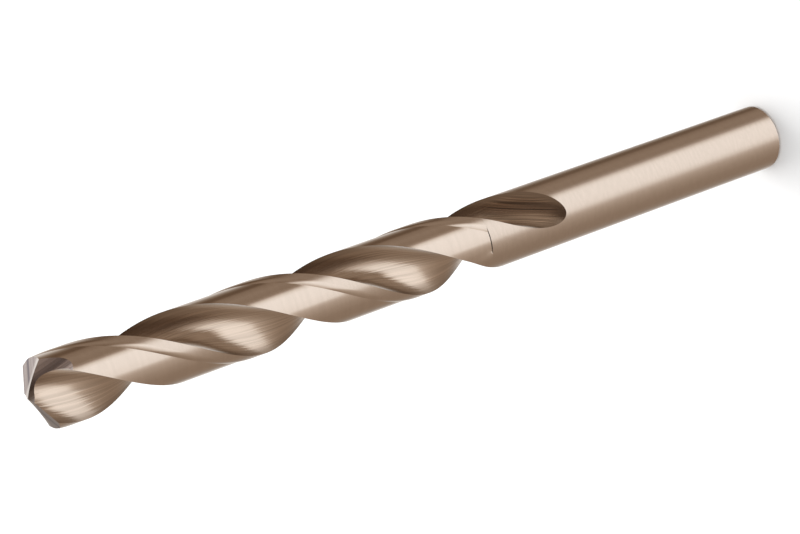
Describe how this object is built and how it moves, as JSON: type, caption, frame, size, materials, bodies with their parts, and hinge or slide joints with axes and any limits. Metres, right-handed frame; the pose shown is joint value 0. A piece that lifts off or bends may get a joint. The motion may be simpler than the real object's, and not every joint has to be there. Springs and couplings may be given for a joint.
{
  "type": "twist drill bit",
  "caption": "Straight-shank twist drill bit for metal, with helical flutes, relieved lands and a split point.",
  "frame": {"origin": "centre of the shank's flat end, on which the drill stands", "axes": "+Z along the drill's axis from the shank to the point; +X and +Y square to it, with the first lip's outer corner 33.6 degrees from +X towards +Y"},
  "size_m": [0.012, 0.012, 0.1506],
  "materials": {
    "drill_steel": "ground high-speed steel with a thin bronze-coloured oxide"
  },
  "bodies": {
    "root": {"twist_drill": "drill_steel"}
  },
  "joints": []
}
